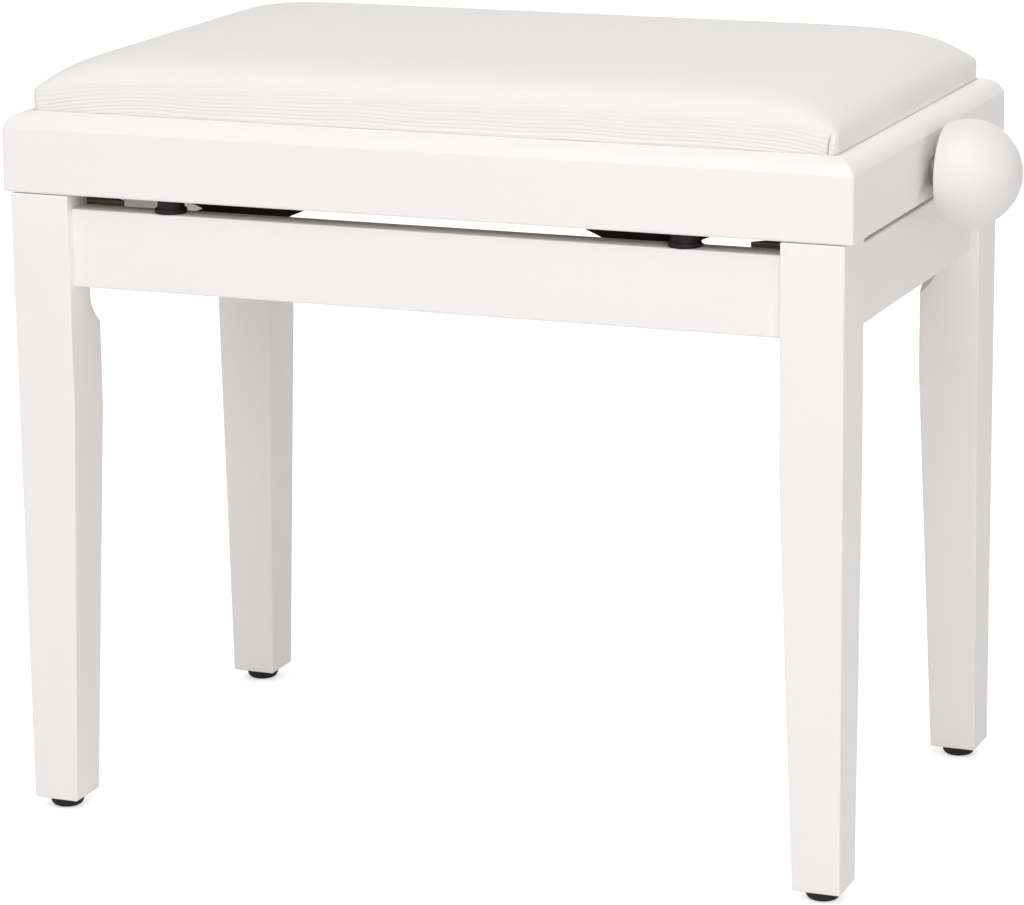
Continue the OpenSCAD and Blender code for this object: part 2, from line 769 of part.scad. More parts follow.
// A crowned pad: half sizes hx and hy, straight from z0 to z1, drawn in up to z2, then the crown
module pad(hx, hy, z0, z1, z2, crown, nx, ny) {
    us = [for (i = [0 : nx]) spread(2 * i / nx - 1)];
    vs = [for (k = [0 : ny]) spread(2 * k / ny - 1)];
    top = [for (u = us, v = vs)
        [u * (hx - draw(u, v)), v * (hy - draw(v, u)),
         z2 + crown * fullness(u, end_share) * fullness(v, side_share)]];
    ring = concat([for (i = [0 : nx - 1]) [i, 0]], [for (k = [0 : ny - 1]) [nx, k]],
                  [for (i = [nx : -1 : 1]) [i, ny]], [for (k = [ny : -1 : 1]) [0, k]]);
    count = len(ring);
    upper = [for (at = ring) at[0] * (ny + 1) + at[1]];
    middle_ring = [for (at = ring) [us[at[0]] * hx, vs[at[1]] * hy, z1]];
    lower_ring = [for (at = ring) [us[at[0]] * hx, vs[at[1]] * hy, z0]];
    middle = [for (j = [0 : count - 1]) len(top) + j];
    lower = [for (j = [0 : count - 1]) len(top) + count + j];
    hub = len(top) + 2 * count;
    points = concat(top, middle_ring, lower_ring, [[0, 0, z0]]);
    faces = concat(
        [for (i = [0 : nx - 1], k = [0 : ny - 1], half = [0, 1])
            let (a = i * (ny + 1) + k, b = a + 1, c = a + ny + 2, d = a + ny + 1)
            half == 0 ? [a, b, c] : [a, c, d]],
        band(lower, middle), band(middle, upper),
        [for (j = [0 : count - 1]) [hub, lower[j], lower[(j + 1) % count]]]);
    polyhedron(points = points, faces = faces);
}

// Triangles between two closed rings, the lower one first
function band(low, high) = [for (j = [0 : len(low) - 1], half = [0, 1])
    let (n = (j + 1) % len(low))
    half == 0 ? [low[j], high[j], high[n]] : [low[j], high[n], low[n]]];

// Numbers of faces across the cushion, outside and inside
outer_faces = [28, 18];
inner_faces = [16, 12];

// Cloth over the foam and down past the board, its hem turned under
module cushion_cover() {
    color(cloth) placed() difference() {
        pad(cushion_x, cushion_y, hem_z, frame_top, cushion_edge_z, cushion_crown,
            outer_faces[0], outer_faces[1]);
        pad(board_x, board_y, board_z, frame_top, cushion_edge_z, cushion_crown - cover_t,
            inner_faces[0], inner_faces[1]);
        translate([hem_w - cushion_x, hem_w - cushion_y, hem_z - over])
            cube([2 * (cushion_x - hem_w), 2 * (cushion_y - hem_w), cover_t + 2 * over]);
    }
}

module cushion_foam() {
    color(foam) placed()
        pad(board_x - foam_gap, board_y - foam_gap, board_top, frame_top + foam_gap, cushion_edge_z,
            cushion_crown - cover_t - foam_gap, inner_faces[0], inner_faces[1]);
}

// The upright flange hangs under the board, the flat one is screwed to it
module upper_channel() {
    difference() {
        translate([-channel_l / 2, 0, 0]) {
            translate([0, channel_in_y, upper_channel_z])
                cube([channel_l, channel_t, board_z - upper_channel_z]);
            translate([0, channel_y - upper_flange_w, board_z - channel_t])
                cube([channel_l, upper_flange_w, channel_t]);
        }
        channel_openings(spindle_z);
        upper_screw_holes(board_z - channel_t - over, board_z + over);
    }
}

module upper_channel_front() { color(black_steel) placed() at_end(-1) upper_channel(); }
module upper_channel_back() { color(black_steel) placed() upper_channel(); }

module upper_channel_screws() {
    color(zinc) placed() for (share = upper_screw_shares, end = [-1, 1])
        translate([share * channel_l / 2, end * upper_screw_y, board_z - channel_t - channel_screw_head_h]) {
            cylinder(h = channel_screw_head_h, d = channel_screw_head_d);
            cylinder(h = channel_screw_head_h + upper_screw_l, d = channel_screw_d);
        }
}

// The bush sits in the right frame member, its flange outside
module spindle_bush() {
    color(zinc) placed() difference() {
        union() {
            round_x(frame_in_x, frame_l / 2 + bush_flange_t, spindle_z, bush_d);
            round_x(frame_l / 2, frame_l / 2 + bush_flange_t, spindle_z, bush_flange_d);
        }
        round_x(frame_in_x - over, frame_l / 2 + bush_flange_t + over, spindle_z,
                spindle_d + 2 * running_play);
    }
}

// A plain rod with a left-hand and a right-hand threaded stretch
module spindle() {
    thread_in_x = slide_in_x - bar_block_l / 2 - thread_spare;
    thread_out_x = slide_out_x + bar_block_l / 2 + thread_spare;
    color(zinc) placed() {
        round_x(-pivot_x - bar_block_l / 2 - spindle_tail, knob_back_x + insert_l, spindle_z, spindle_d);
        for (side = [-1, 1]) at_side(side)
            round_x(thread_in_x, thread_out_x, spindle_z, thread_d);
    }
}

// A collar on each side of the right bearing block keeps the spindle in place
module thrust_collars() {
    first = pivot_x - bar_block_l / 2 - side_play - collar_l;
    second = pivot_x + bar_block_l / 2 + side_play;
    color(zinc) placed() for (x = [first, second]) difference() {
        round_x(x, x + collar_l, spindle_z, collar_d);
        round_x(x - over, x + collar_l + over, spindle_z, spindle_d + 2 * fixed_play);
    }
}

// A turned wood ball with a flat back, bored for its insert
module knob() {
    flat = knob_x - knob_back_x;
    color(paint) placed() translate([knob_x, 0, spindle_z]) rotate([0, 90, 0])
        rotate_extrude() difference() {
            intersection() {
                circle(r = knob_r);
                translate([0, -flat]) square([knob_r, flat + knob_r]);
            }
            translate([-over, -flat - over])
                square([over + insert_d / 2 + fixed_play, over + insert_l]);
        }
}

module knob_insert() {
    color(brass) placed() difference() {
        round_x(knob_back_x, knob_back_x + insert_l, spindle_z, insert_d);
        round_x(knob_back_x - over, knob_back_x + insert_l + over, spindle_z, spindle_d + 2 * fixed_play);
    }
}

leg_front_left();
leg_front_right();
leg_back_left();
leg_back_right();
rail_front();
rail_back();
rail_left();
rail_right();
corner_blocks();
hanger_bolts();
hanger_washers();
hanger_nuts();
foot_glides();
glide_nails();
rail_bumpers();
channel_cleats();
lower_channel_front();
lower_channel_back();
lower_channel_screws();
lower_rod_left();
lower_rod_right();
outer_arms_left();
centre_pivots_left();
outer_arms_right();
centre_pivots_right();
inner_arms_left();
lower_slide_pins_left();
inner_arms_right();
lower_slide_pins_right();
slide_bar_left();
slide_bar_right();
frame_front();
frame_back();
frame_left();
frame_right();
seat_cleats();
seat_board();
board_screws();
cushion_foam();
cushion_cover();
upper_channel_front();
upper_channel_back();
upper_channel_screws();
bearing_bar_left();
bearing_bar_right();
spindle_bush();
spindle();
thrust_collars();
knob();
knob_insert();
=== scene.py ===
import math

import bmesh
import bpy
import numpy as np
from mathutils import Matrix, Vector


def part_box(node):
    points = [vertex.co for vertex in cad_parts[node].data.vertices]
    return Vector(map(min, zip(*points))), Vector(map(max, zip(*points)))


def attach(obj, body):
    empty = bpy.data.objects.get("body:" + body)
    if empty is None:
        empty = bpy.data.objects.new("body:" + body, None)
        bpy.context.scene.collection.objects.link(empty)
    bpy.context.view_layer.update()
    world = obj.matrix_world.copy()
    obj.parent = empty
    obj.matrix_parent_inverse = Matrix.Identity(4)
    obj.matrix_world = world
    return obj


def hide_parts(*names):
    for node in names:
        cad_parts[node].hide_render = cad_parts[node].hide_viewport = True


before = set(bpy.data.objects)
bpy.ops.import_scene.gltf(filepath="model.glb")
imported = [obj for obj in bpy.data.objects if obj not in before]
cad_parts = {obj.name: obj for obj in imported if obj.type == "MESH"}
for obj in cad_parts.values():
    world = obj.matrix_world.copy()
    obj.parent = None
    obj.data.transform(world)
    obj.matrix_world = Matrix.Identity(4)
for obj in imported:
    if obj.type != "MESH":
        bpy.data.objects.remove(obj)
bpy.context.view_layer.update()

# Legs
# Four solid beech legs, painted with the rest of the base. Each is planed square, tapered on its two inner
# faces from two thirds of its height down, and its inner upper edge is cut off for the corner block.
MM = 0.001
foot_l = 30.0
foot_w = 31.0
taper_l = 255.0
cut_w = 12.5
cut_l = 65.0
cut_r = 30.0
leg_edge_r = 0.9
eased_corner_w = (2 - math.sqrt(2)) * leg_edge_r


def corners(node):
    """Lowest and highest corner of a CAD piece at rest, in millimetres."""
    return np.array([list(corner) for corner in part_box(node)]) / MM


def rounded(outline, radius, inset=0.0, steps=4, shoulder=0.6):
    """Closed outlines, shape (..., corners, 2) and counter-clockwise, with rounded corners.

    The centre of a corner's arc lies at the corner, moved by the radius off both edges. The arc turns from
    one edge's normal to the next one's, less the inset. A shoulder point on each side, up to that far off
    the arc, keeps the faces flat.
    """
    arriving = outline - np.roll(outline, 1, axis=-2)
    length = np.linalg.norm(arriving, axis=-1, keepdims=True)
    arriving = arriving / length
    leaving = np.roll(arriving, -1, axis=-2)
    normal_in = np.stack([arriving[..., 1], -arriving[..., 0]], axis=-1)
    normal_out = np.stack([leaving[..., 1], -leaving[..., 0]], axis=-1)
    cosine = np.sum(arriving * leaving, axis=-1, keepdims=True)
    cross = arriving[..., :1] * leaving[..., 1:] - arriving[..., 1:] * leaving[..., :1]
    bend = np.sign(cross)
    turn = np.arccos(np.clip(cosine, -1, 1))
    radius = np.broadcast_to(np.reshape(radius, (-1, 1)), turn.shape)
    reach = radius * np.tan(turn / 2)
    centre = outline - bend * radius * (normal_in + normal_out) / (1 + cosine)
    share = np.linspace(0, 1, steps + 1)[:, None]
    turn = turn[..., None, :]
    normal = (np.sin((1 - share) * turn) * normal_in[..., None, :] + np.sin(share * turn)
              * normal_out[..., None, :]) / np.sin(turn)
    arc = centre[..., None, :] + ((bend * radius)[..., None, :] - inset) * normal
    flat = length - reach - np.roll(reach, 1, axis=-2)
    just_short_of_half = 0.45
    before = np.clip(just_short_of_half * flat, 0, shoulder)
    after = np.roll(before, -1, axis=-2)
    arc = np.concatenate([arc[..., :1, :] - (before * arriving)[..., None, :], arc,
                          arc[..., -1:, :] + (after * leaving)[..., None, :]], axis=-2)
    return arc.reshape(*outline.shape[:-2], -1, 2)


def solid(name, points, faces, sharp=40.0, shade=None):
    """A closed mesh from points in millimetres: doubles merged, normals outwards, smooth up to an angle.

    shade is an optional number for each point, kept as the attribute of that name.
    """
    mesh = bpy.data.meshes.new(name)
    mesh.from_pydata((np.asarray(points) * MM).tolist(), [], faces)
    if shade is not None:
        mesh.attributes.new("shade", "FLOAT", "POINT").data.foreach_set("value", shade)
    work = bmesh.new()
    work.from_mesh(mesh)
    bmesh.ops.remove_doubles(work, verts=work.verts, dist=0.001 * MM)
    bmesh.ops.recalc_face_normals(work, faces=work.faces)
    work.to_mesh(mesh)
    work.free()
    mesh.shade_smooth()
    mesh.set_sharp_from_angle(angle=math.radians(sharp))
    made = bpy.data.objects.new(name, mesh)
    bpy.context.scene.collection.objects.link(made)
    return made


def skin(name, rings, sharp=40.0):
    """A solid from rings, shape (rings, points, 3): quads between neighbours, and a face on each end."""
    count, around = rings.shape[:2]
    index = np.arange(count * around).reshape(count, around)
    after = np.roll(index, -1, axis=1)
    quads = np.stack([index[:-1], after[:-1], after[1:], index[1:]], axis=-1)
    faces = quads.reshape(-1, 4).tolist() + [index[0, ::-1].tolist(), index[-1].tolist()]
    return solid(name, rings.reshape(-1, 3), faces, sharp)


def leg(name, side, end):
    """Five-cornered sections over the height: outer faces upright, inner ones tapered, one corner cut off.

    The cut's width is full over cut_l, then shrinks as a round cutter of radius cut_r leaves the wood. Each
    end steps in along a quarter circle. Sections stand close together where the taper and the cut end.
    """
    low, high = corners("leg_back_right")
    foot_z, top_z = low[2], high[2]
    taper_end = foot_z + taper_l
    run_out = top_z - cut_l
    tapering = np.linspace(foot_z + 8, taper_end - 6, 12)
    round_taper_end = np.linspace(taper_end - 4, taper_end + 4, 5)
    round_run_out = np.linspace(run_out - 24, run_out + 1, 26)
    between = np.sort(np.concatenate([tapering, round_taper_end, round_run_out, [top_z - 30]]))
    quarter = np.linspace(0, np.pi / 2, 4)
    off = leg_edge_r * (1 - np.cos(quarter))
    eased = leg_edge_r * (1 - np.sin(quarter))
    z = np.concatenate([foot_z + off, between, top_z - off[::-1]])
    inset = np.concatenate([eased, 0 * between, eased[::-1]])
    tapered = np.clip((taper_end - z) / taper_l, 0, 1)
    in_x = low[0] + tapered * (high[0] - low[0] - foot_l)
    in_y = low[1] + tapered * (high[1] - low[1] - foot_w)
    below = np.clip(run_out - z, 0, cut_r)
    cut = cut_w - math.sqrt(2) * (cut_r - np.sqrt(cut_r ** 2 - below ** 2))
    cut = np.maximum(cut, eased_corner_w)
    out_x, out_y = np.full_like(z, high[0]), np.full_like(z, high[1])
    outline = np.stack([np.stack([in_x + cut, in_y], -1), np.stack([out_x, in_y], -1),
                        np.stack([out_x, out_y], -1), np.stack([in_x, out_y], -1),
                        np.stack([in_x, in_y + cut], -1)], axis=1)
    ring = rounded(outline, leg_edge_r, inset[:, None, None, None])
    rings = np.concatenate([ring, np.broadcast_to(z[:, None, None], ring.shape[:2] + (1,))], axis=-1)
    rings = rings - [stool_x, 0, 0]
    return skin(name, rings * [side, end, 1] + [stool_x, 0, 0])


def linear(hexed):
    """An sRGB hex colour as linear RGBA: each channel over 255, then the sRGB curve undone."""
    channels = np.array([int(hexed[at:at + 2], 16) for at in (1, 3, 5)]) / 255
    curved = np.where(channels <= 0.04045, channels / 12.92, ((channels + 0.055) / 1.055) ** 2.4)
    return (*curved.tolist(), 1.0)


def add(tree, kind, inputs=None, **settings):
    """Adds a node of that kind to a tree: settings are its properties, inputs hold values or outputs."""
    made = tree.nodes.new(kind)
    for name, value in settings.items():
        setattr(made, name, value)
    for name, value in (inputs or {}).items():
        if isinstance(value, bpy.types.NodeSocket):
            tree.links.new(value, made.inputs[name])
        else:
            made.inputs[name].default_value = value
    return made


def material(name):
    """A new material and its empty node tree."""
    made = bpy.data.materials.new(name)
    made.use_nodes = True
    made.node_tree.nodes.clear()
    return made, made.node_tree


def coat_piece(piece, made):
    """Gives a piece its material."""
    piece.data.materials.clear()
    piece.data.materials.append(made)


def satin_paint(name, dull, bright):
    """Satin acrylic, sprayed: a soft gloss, a fine orange peel about 1.5 mm across, faint clouding."""
    made, tree = material(name)
    place = add(tree, "ShaderNodeTexCoord").outputs["Object"]
    cloud = add(tree, "ShaderNodeTexNoise", {"Vector": place, "Scale": 1 / (111 * MM), "Detail": 3.0})
    colour = add(tree, "ShaderNodeMix", {0: cloud.outputs["Fac"], 6: linear(dull), 7: linear(bright)},
                 data_type="RGBA")
    peel = add(tree, "ShaderNodeTexNoise", {"Vector": place, "Scale": 0.7 / (1.5 * MM), "Detail": 2.0})
    bump = add(tree, "ShaderNodeBump",
               {"Height": peel.outputs["Fac"], "Strength": 0.08, "Distance": 0.1 * MM})
    wear = add(tree, "ShaderNodeMapRange", {"Value": cloud.outputs["Fac"], "To Min": 0.44, "To Max": 0.54})
    shader = add(tree, "ShaderNodeBsdfPrincipled",
                 {"Base Color": colour.outputs[2], "Roughness": wear.outputs["Result"],
                  "Normal": bump.outputs["Normal"], "IOR": 1.48})
    add(tree, "ShaderNodeOutputMaterial", {"Surface": shader.outputs["BSDF"]})
    return made


paint = satin_paint("satin_white_acrylic", "#f8f5f4", "#fbf8f7")
stool_x = corners("frame_front")[:, 0].mean()
for end_name, end in (("front", -1), ("back", 1)):
    for side_name, side in (("left", -1), ("right", 1)):
        node = f"leg_{end_name}_{side_name}"
        piece = leg(node + "_painted", side, end)
        coat_piece(piece, paint)
        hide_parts(node)
        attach(piece, "base")


# Rails
# Four straight beech rails between the legs, glued and drawn tight by the corner blocks. Their long edges
# are eased by the plane before painting; their ends butt against the legs.
rail_edge_r = 1.1
crosswise = ((1, 2), (2, 0), (0, 1))


def bar(name, low, high, axis, edge_r):
    """A sawn bar: a rounded rectangle carried along one axis, with its ends left square."""
    first, second = crosswise[axis]
    outline = np.array([[low[first], low[second]], [high[first], low[second]],
                        [high[first], high[second]], [low[first], high[second]]])
    ring = rounded(outline, edge_r)
    rings = np.zeros((2, len(ring), 3))
    rings[..., first] = ring[:, 0]
    rings[..., second] = ring[:, 1]
    rings[..., axis] = [[low[axis]], [high[axis]]]
    return skin(name, rings)


for node, axis in (("rail_front", 0), ("rail_back", 0), ("rail_left", 1), ("rail_right", 1)):
    piece = bar(node + "_painted", *corners(node), axis, rail_edge_r)
    coat_piece(piece, paint)
    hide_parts(node)
    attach(piece, "base")


# Corner blocks and hanger bolts
# Raw hardwood blocks, drawn up tight against the legs' cut edges. Their wood is coloured darker, as painted
# shade for the shade under the seat. Each hanger bolt has a washer and a hexagon nut of bright zinc-plated
# steel.

def sawn_wood(name, early, late, pore):
    """Planed wood, unfinished: early wood with darker late wood every 3 mm, drawn out along the grain."""
    made, tree = material(name)
    place = add(tree, "ShaderNodeTexCoord").outputs["Object"]
    stretch = add(tree, "ShaderNodeMapping", {"Vector": place, "Scale": (0.12, 1.0, 1.0)})
    ring = add(tree, "ShaderNodeTexWave", {"Vector": stretch.outputs["Vector"], "Scale": 0.32 / (3.0 * MM),
                                           "Distortion": 4.0, "Detail": 3.0, "Detail Scale": 0.6},
               bands_direction="Z")
    pores = add(tree, "ShaderNodeTexNoise", {"Vector": stretch.outputs["Vector"], "Scale": 1 / (1.2 * MM),
                                             "Detail": 4.0})
    colour = add(tree, "ShaderNodeMix", {0: ring.outputs["Fac"], 6: linear(early), 7: linear(late)},
                 data_type="RGBA")
    fleck = add(tree, "ShaderNodeMix", {0: pores.outputs["Fac"], 6: linear(pore), 7: colour.outputs[2]},
                data_type="RGBA")
    bump = add(tree, "ShaderNodeBump",
               {"Height": pores.outputs["Fac"], "Strength": 0.3, "Distance": 0.2 * MM})
    shader = add(tree, "ShaderNodeBsdfPrincipled", {"Base Color": fleck.outputs[2], "Roughness": 0.72,
                                                    "Normal": bump.outputs["Normal"]})
    add(tree, "ShaderNodeOutputMaterial", {"Surface": shader.outputs["BSDF"]})
    return made


def zinc_plate():
    """Bright zinc plate on turned steel: cool grey, with fine turning marks about 0.8 mm apart.

    Its grey is darkened, as painted shade for the spindle's stub in the shaded gap behind the knob.
    """
    made, tree = material("bright_zinc_plate")
    place = add(tree, "ShaderNodeTexCoord").outputs["Object"]
    cloud = add(tree, "ShaderNodeTexNoise", {"Vector": place, "Scale": 1 / (12 * MM), "Detail": 4.0})
    # These greys are darker than bright zinc: painted shade for the spindle's stub in the gap behind the
    # knob.
    colour = add(tree, "ShaderNodeMix",
                 {0: cloud.outputs["Fac"], 6: linear("#9c9ea1"), 7: linear("#bdbfc2")}, data_type="RGBA")
    mark = add(tree, "ShaderNodeTexNoise", {"Vector": place, "Scale": 1 / (0.8 * MM), "Detail": 2.0})
    bump = add(tree, "ShaderNodeBump",
               {"Height": mark.outputs["Fac"], "Strength": 0.15, "Distance": 0.05 * MM})
    rough = add(tree, "ShaderNodeMapRange",
                {"Value": cloud.outputs["Fac"], "To Min": 0.28, "To Max": 0.42})
    shader = add(tree, "ShaderNodeBsdfPrincipled", {"Base Color": colour.outputs[2], "Metallic": 1.0,
                                                    "Roughness": rough.outputs["Result"],
                                                    "Normal": bump.outputs["Normal"]})
    add(tree, "ShaderNodeOutputMaterial", {"Surface": shader.outputs["BSDF"]})
    return made


def finish_nodes(made, nodes):
    """Gives CAD pieces whose shape is right their real finish."""
    for name in nodes:
        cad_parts[name].data.materials.clear()
        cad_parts[name].data.materials.append(made)


zinc = zinc_plate()
# The blocks' darker colours are painted shade, for the shade in the gap under the seat.
finish_nodes(sawn_wood("planed_hardwood_with_painted_shade", "#9a8b7c", "#6d5f52", "#3a302a"), ["corner_blocks"])
finish_nodes(zinc, ["hanger_bolts", "hanger_washers", "hanger_nuts"])


# Foot glides and bumpers
# Moulded black rubber. A glide is a flattened dome nailed under the middle of each foot. A bumper is a
# flanged button pressed into the rail's top edge, which the seat frame comes down on.
glide_d = 22.0
glide_flat_d = 12.0
glide_fullness = 0.75
bumper_d = 20.0
bumper_flange_h = 3.0
bumper_neck_d = 17.0
bumper_top_d = 15.5
bumper_edge_rs = (2.2, 0.5, 0.9, 0.3)


def turned(name, profile, centre, axis, around=64, sharp=40.0):
    """A profile of (place along the axis, radius) turned about an axis through the centre."""
    angle = np.linspace(0, 2 * np.pi, around, endpoint=False)
    profile = np.asarray(profile)
    first, second = crosswise[axis]
    rings = np.zeros((len(profile), around, 3))
    rings[..., axis] = profile[:, :1]
    rings[..., first] = profile[:, 1:] * np.cos(angle)
    rings[..., second] = profile[:, 1:] * np.sin(angle)
    return skin(name, rings + centre, sharp)


def moulded_rubber():
    """Black moulded rubber: matt, with a fine spark-eroded grain about 0.5 mm across."""
    made, tree = material("black_moulded_rubber")
    place = add(tree, "ShaderNodeTexCoord").outputs["Object"]
    grain = add(tree, "ShaderNodeTexNoise", {"Vector": place, "Scale": 1 / (0.5 * MM), "Detail": 2.0})
    colour = add(tree, "ShaderNodeMix",
                 {0: grain.outputs["Fac"], 6: linear("#0e0d0d"), 7: linear("#161514")}, data_type="RGBA")
    bump = add(tree, "ShaderNodeBump",
               {"Height": grain.outputs["Fac"], "Strength": 0.25, "Distance": 0.08 * MM})
    shader = add(tree, "ShaderNodeBsdfPrincipled", {"Base Color": colour.outputs[2], "Roughness": 0.62,
                                                    "Normal": bump.outputs["Normal"]})
    add(tree, "ShaderNodeOutputMaterial", {"Surface": shader.outputs["BSDF"]})
    return made


def joined_pieces(name, pieces):
    """Several meshes made one, because they stand for one group of like pieces."""
    work = bmesh.new()
    for piece in pieces:
        work.from_mesh(piece.data)
        bpy.data.objects.remove(piece)
    mesh = bpy.data.meshes.new(name)
    work.to_mesh(mesh)
    work.free()
    made = bpy.data.objects.new(name, mesh)
    bpy.context.scene.collection.objects.link(made)
    return made


def glide(centre, height, width):
    """A dome: a flat, then a quarter of an ellipse, made fuller by a power of its cosine and sine."""
    flat = glide_flat_d / 2
    bulge = width / 2 - flat
    angle = np.linspace(0, np.pi / 2, 14)
    up = height * (1 - np.cos(angle) ** glide_fullness)
    out = flat + bulge * np.sin(angle) ** glide_fullness
    side = np.stack([up, out], axis=-1)
    profile = np.concatenate([[[0, 0]], side, [[height, width / 2], [height, 0]]])
    return turned("glide", profile, centre, 2)


def bumper(centre, height, width):
    """A flange with eased edges, then a neck that tapers to a rounded top.

    The first and last points of the rounded outline lie inside on the axis and are left out.
    """
    outline = np.array([[0, 0], [0, width / 2], [bumper_flange_h, width / 2],
                        [bumper_flange_h, bumper_neck_d / 2], [height, bumper_top_d / 2], [height, 0]])
    profile = rounded(outline[::-1], [0, *bumper_edge_rs, 0], shoulder=0.3)
    return turned("bumper", profile[1:-1], centre, 2)


rubber = moulded_rubber()
glide_low, glide_high = corners("foot_glides")
bumper_low, bumper_high = corners("rail_bumpers")
feet = np.array([corners("leg_front_left")[0], corners("leg_back_right")[1]])
buttons = np.array([bumper_low, bumper_high])
glides, bumpers = [], []
for side in (0, 1):
    for end in (0, 1):
        inward = np.array([1 - 2 * side, 1 - 2 * end])
        at = feet[[side, end], [0, 1]] + inward * [foot_l / 2, foot_w / 2]
        glides.append(glide([*at, glide_low[2]], glide_high[2] - glide_low[2], glide_d))
        at = buttons[[side, end], [0, 1]] + inward * bumper_d / 2
        bumpers.append(bumper([*at, bumper_low[2]], bumper_high[2] - bumper_low[2], bumper_d))
for name, pieces, node in (("rubber_glides", glides, "foot_glides"),
                           ("rubber_bumpers", bumpers, "rail_bumpers")):
    piece = joined_pieces(name, pieces)
    coat_piece(piece, rubber)
    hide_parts(node)
    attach(piece, "base")
finish_nodes(zinc, ["glide_nails"])


# The lift
# Two pairs of scissors between L-shaped channels, of cut and punched steel plate with a black powder coat.
# Its rods, pins and screws are zinc-plated, and pine cleats carry the lower channels.

def powder_coat():
    """Black powder coat on steel plate: a low gloss and a pebbled skin about 1 mm across."""
    made, tree = material("black_powder_coat")
    place = add(tree, "ShaderNodeTexCoord").outputs["Object"]
    pebble = add(tree, "ShaderNodeTexNoise", {"Vector": place, "Scale": 1 / (1.0 * MM), "Detail": 3.0})
    dust = add(tree, "ShaderNodeTexNoise", {"Vector": place, "Scale": 1 / (25 * MM), "Detail": 5.0})
    colour = add(tree, "ShaderNodeMix",
                 {0: dust.outputs["Fac"], 6: linear("#1d1c1c"), 7: linear("#302e2d")}, data_type="RGBA")
    bump = add(tree, "ShaderNodeBump",
               {"Height": pebble.outputs["Fac"], "Strength": 0.25, "Distance": 0.1 * MM})
    shader = add(tree, "ShaderNodeBsdfPrincipled", {"Base Color": colour.outputs[2], "Roughness": 0.42,
                                                    "Normal": bump.outputs["Normal"]})
    add(tree, "ShaderNodeOutputMaterial", {"Surface": shader.outputs["BSDF"]})
    return made


black = powder_coat()
pine = sawn_wood("planed_pine", "#c9a06b", "#a87a45", "#8a6034")
finish_nodes(pine, ["channel_cleats"])
finish_nodes(black, ["lower_channel_front", "lower_channel_back",
                     "upper_channel_front", "upper_channel_back",
                     "outer_arms_left", "outer_arms_right", "inner_arms_left", "inner_arms_right",
                     "centre_pivots_left", "centre_pivots_right"])
finish_nodes(zinc, ["lower_channel_screws", "upper_channel_screws", "lower_rod_left", "lower_rod_right",
                    "lower_slide_pins_left", "lower_slide_pins_right", "slide_bar_left", "slide_bar_right",
                    "bearing_bar_left", "bearing_bar_right", "thrust_collars", "spindle_bush"])


# Spindle
# A turned steel rod with a two-start thread on each half, one right-handed and one left-handed, so that the
# two slide bars move apart or together. It is zinc-plated like the other rods.
spindle_r = 5.0
thread_r = 6.0
thread_lead = 6.0
thread_starts = 2
thread_in = 41.9
thread_out = 152.2
thread_step = 0.5
thread_steepness = 0.9
run_out_l = 1.5
rod_chamfer = 0.8


def threaded_rod(name, low_x, high_x, axis_z, around=48):
    """A rod along X, chamfered at both ends, whose radius is the core's plus the thread's depth * ridge.

    The ridge is a cosine, cut flat at root and crest, of starts * (hand * angle - 2 pi x / lead), where the
    hand is 1 right of the middle and -1 left of it. It runs out over run_out_l at each end of a thread.
    """
    thread = np.arange(thread_in, thread_out + thread_step, thread_step)
    ends = np.array([0, rod_chamfer])
    off = np.concatenate([low_x - stool_x + ends, -thread[::-1], thread, high_x - stool_x - ends[::-1]])
    core = np.full_like(off, spindle_r)
    core[[0, -1]] -= rod_chamfer
    angle = np.linspace(0, 2 * np.pi, around, endpoint=False)
    full = np.clip(np.minimum(np.abs(off) - thread_in, thread_out - np.abs(off)) / run_out_l, 0, 1)
    phase = thread_starts * (np.sign(off)[:, None] * angle - 2 * np.pi * off[:, None] / thread_lead)
    ridge = np.clip(0.5 + thread_steepness * np.cos(phase), 0, 1)
    radius = core[:, None] + (thread_r - spindle_r) * ridge * full[:, None]
    rings = np.zeros(radius.shape + (3,))
    rings[..., 0] = stool_x + off[:, None]
    rings[..., 1] = radius * np.cos(angle)
    rings[..., 2] = axis_z + radius * np.sin(angle)
    return skin(name, rings, sharp=50.0)


spindle_low, spindle_high = corners("spindle")
spindle_z = (spindle_low[2] + spindle_high[2]) / 2
piece = threaded_rod("threaded_spindle", spindle_low[0], spindle_high[0], spindle_z)
coat_piece(piece, zinc)
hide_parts("spindle")
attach(piece, "turning_spindle")


# Seat board, cleats and screws
# A birch plywood board closes the frame from below. It lies on pine cleats inside the frame and is screwed
# to them.

def birch_plywood():
    """Sanded birch plywood: a pale face with a long, quiet grain about 6 mm wide."""
    made, tree = material("birch_plywood")
    place = add(tree, "ShaderNodeTexCoord").outputs["Object"]
    stretch = add(tree, "ShaderNodeMapping", {"Vector": place, "Scale": (0.08, 1.0, 1.0)})
    grain = add(tree, "ShaderNodeTexNoise", {"Vector": stretch.outputs["Vector"], "Scale": 1 / (6 * MM),
                                             "Detail": 5.0})
    colour = add(tree, "ShaderNodeMix",
                 {0: grain.outputs["Fac"], 6: linear("#cdb083"), 7: linear("#b8955f")}, data_type="RGBA")
    bump = add(tree, "ShaderNodeBump",
               {"Height": grain.outputs["Fac"], "Strength": 0.15, "Distance": 0.1 * MM})
    shader = add(tree, "ShaderNodeBsdfPrincipled", {"Base Color": colour.outputs[2], "Roughness": 0.62,
                                                    "Normal": bump.outputs["Normal"]})
    add(tree, "ShaderNodeOutputMaterial", {"Surface": shader.outputs["BSDF"]})
    return made


finish_nodes(birch_plywood(), ["seat_board"])
finish_nodes(pine, ["seat_cleats"])
finish_nodes(zinc, ["board_screws"])


# Seat frame
# Four beech members, mitred and glued at the corners and painted after gluing, so that no joint shows. The
# top outer edge is a router's round that turns by less than a right angle, so a fine line shows on the face.
round_h = 9.5
round_turn = math.radians(70)
round_share = 0.985
crease_r = 0.3
corner_r = 1.4
corner_top_r = 5.0
arris_r = 1.5
inner_arris_r = 0.7


